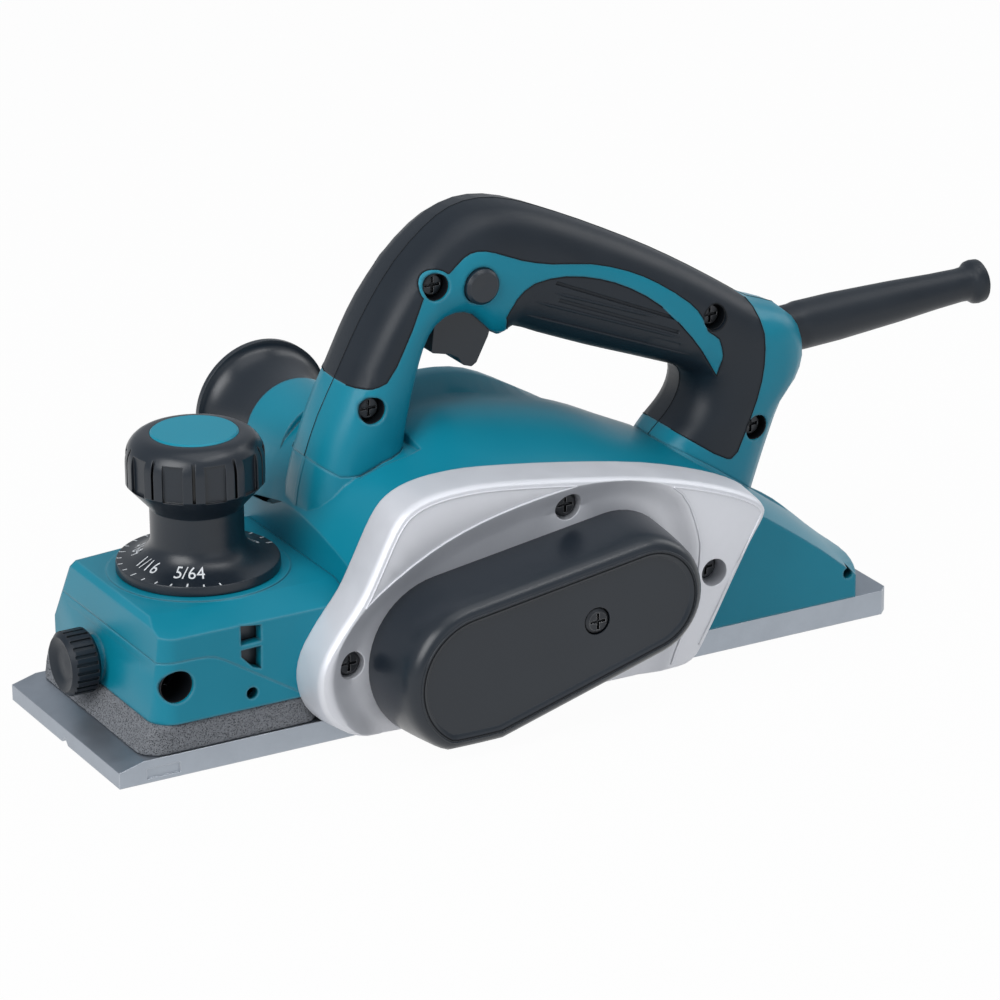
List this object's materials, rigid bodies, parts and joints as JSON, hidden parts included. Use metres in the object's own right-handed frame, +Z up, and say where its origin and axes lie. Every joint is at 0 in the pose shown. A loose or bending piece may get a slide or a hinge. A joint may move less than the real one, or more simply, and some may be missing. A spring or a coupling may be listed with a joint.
{
  "type": "electric hand planer",
  "caption": "Portable electric hand planer: soft-grip loop handle, depth knob on a lifting front base, belt-driven cutter drum, chip nozzle and cord guard.",
  "frame": {"origin": "on the sole of the rear base, at half the overall length of both bases and on their centre line", "axes": "+X to the rear, where the cord leaves; -Y to the belt cover's side; +Z up, away from the soles"},
  "size_m": [0.3472, 0.15, 0.1567],
  "materials": {
    "body_plastic": "satin glass-filled nylon",
    "cap_plastic": "smooth",
    "soft_grip": "soft satin elastomer",
    "black_plastic": "satin",
    "thumb_plastic": "matt, knurled",
    "guard_rubber": "matt",
    "belt_rubber": "matt",
    "seal_foam": "speckled closed-cell foam",
    "cast_base": "cast, milled sole",
    "bracket_metal": "satin silver paint on a die casting",
    "drum_metal": "turned",
    "blade_steel": "ground",
    "clamp_steel": "oil-blackened",
    "bright_steel": "bright",
    "dark_screws": "black oxide",
    "core_steel": "laminated",
    "copper": "copper",
    "brass_holder": "pressed brass",
    "carbon": "pressed carbon"
  },
  "bodies": {
    "body": {"rear_base": "cast_base", "foam_seal": "seal_foam", "motor_housing": "body_plastic", "front_housing": "body_plastic", "front_cover": "body_plastic", "drive_bracket": "bracket_metal", "belt_cover": "black_plastic", "end_cover": "black_plastic", "chip_nozzle": "black_plastic", "handle_left": "body_plastic", "handle_right": "body_plastic", "grip_left": "soft_grip", "grip_right": "soft_grip", "handle_screws": "dark_screws", "bracket_screws": "dark_screws", "belt_cover_screw": "dark_screws", "base_screws": "dark_screws", "end_cover_screws": "dark_screws", "cord_guard": "guard_rubber", "switch_body": "black_plastic", "trigger_pin": "bright_steel", "depth_spring": "bright_steel", "clamp_nut": "bright_steel", "drum_bearings": "bright_steel", "drive_belt": "belt_rubber", "motor_bearings": "bright_steel", "stator_core": "core_steel", "stator_coils": "copper", "brush_holders": "brass_holder", "carbon_brushes": "carbon", "foot_pin": "bright_steel"},
    "front_base": {"front_base": "cast_base"},
    "knob": {"depth_knob": "black_plastic", "knob_cap": "cap_plastic", "adjusting_screw": "bright_steel"},
    "armature": {"armature_shaft": "bright_steel", "armature_core": "core_steel", "commutator": "copper", "cooling_fan": "black_plastic", "motor_pulley": "drum_metal"},
    "cutter": {"cutter_drum": "drum_metal", "planer_blades": "blade_steel", "blade_clamps": "clamp_steel", "clamp_bolts": "dark_screws", "drum_pulley": "drum_metal"},
    "trigger": {"trigger": "black_plastic"},
    "lock_button": {"lock_button": "black_plastic"},
    "thumb_screw": {"thumb_screw": "thumb_plastic"},
    "rear_foot": {"rear_foot": "black_plastic"}
  },
  "joints": [
    {"name": "knob_turn", "type": "hinge", "parent": "body", "child": "knob", "pos_m": [-0.0938, 0, 0.05], "axis": [0, 0, -1], "range_deg": [0, 300]},
    {"name": "front_base_lift", "type": "slide", "parent": "body", "child": "front_base", "axis": [0, 0, 1], "range_m": [0, 0.0025], "deforming": ["foam_seal", "depth_spring"]},
    {"name": "motor_spin", "type": "hinge", "parent": "body", "child": "armature", "pos_m": [0.028, 0, 0.042], "axis": [0, 1, 0], "continuous": true},
    {"name": "cutter_spin", "type": "hinge", "parent": "body", "child": "cutter", "pos_m": [-0.032, 0, 0.028], "axis": [0, 1, 0], "continuous": true},
    {"name": "trigger_pull", "type": "hinge", "parent": "body", "child": "trigger", "pos_m": [-0.007, 0, 0.1264], "axis": [0, -1, 0], "range_deg": [0, 10], "stiffness_Nm_per_rad": 0.3, "springref_deg": -11.46},
    {"name": "lock_push", "type": "slide", "parent": "body", "child": "lock_button", "axis": [0, 1, 0], "range_m": [0, 0.003], "stiffness_N_per_m": 800, "springref_m": -0.001},
    {"name": "thumb_turn", "type": "hinge", "parent": "body", "child": "thumb_screw", "pos_m": [-0.135, 0.005, 0.025], "axis": [1, 0, 0], "range_deg": [-360, 360]},
    {"name": "foot_swing", "type": "hinge", "parent": "body", "child": "rear_foot", "pos_m": [0.112, 0.031, 0.013], "axis": [0, -1, 0], "range_deg": [0, 50]}
  ],
  "couplings": [
    {"joint": "knob_turn", "follows": "front_base_lift", "rad_per_m": 2094.4},
    {"joint": "cutter_spin", "follows": "motor_spin", "ratio": 0.73684}
  ]
}
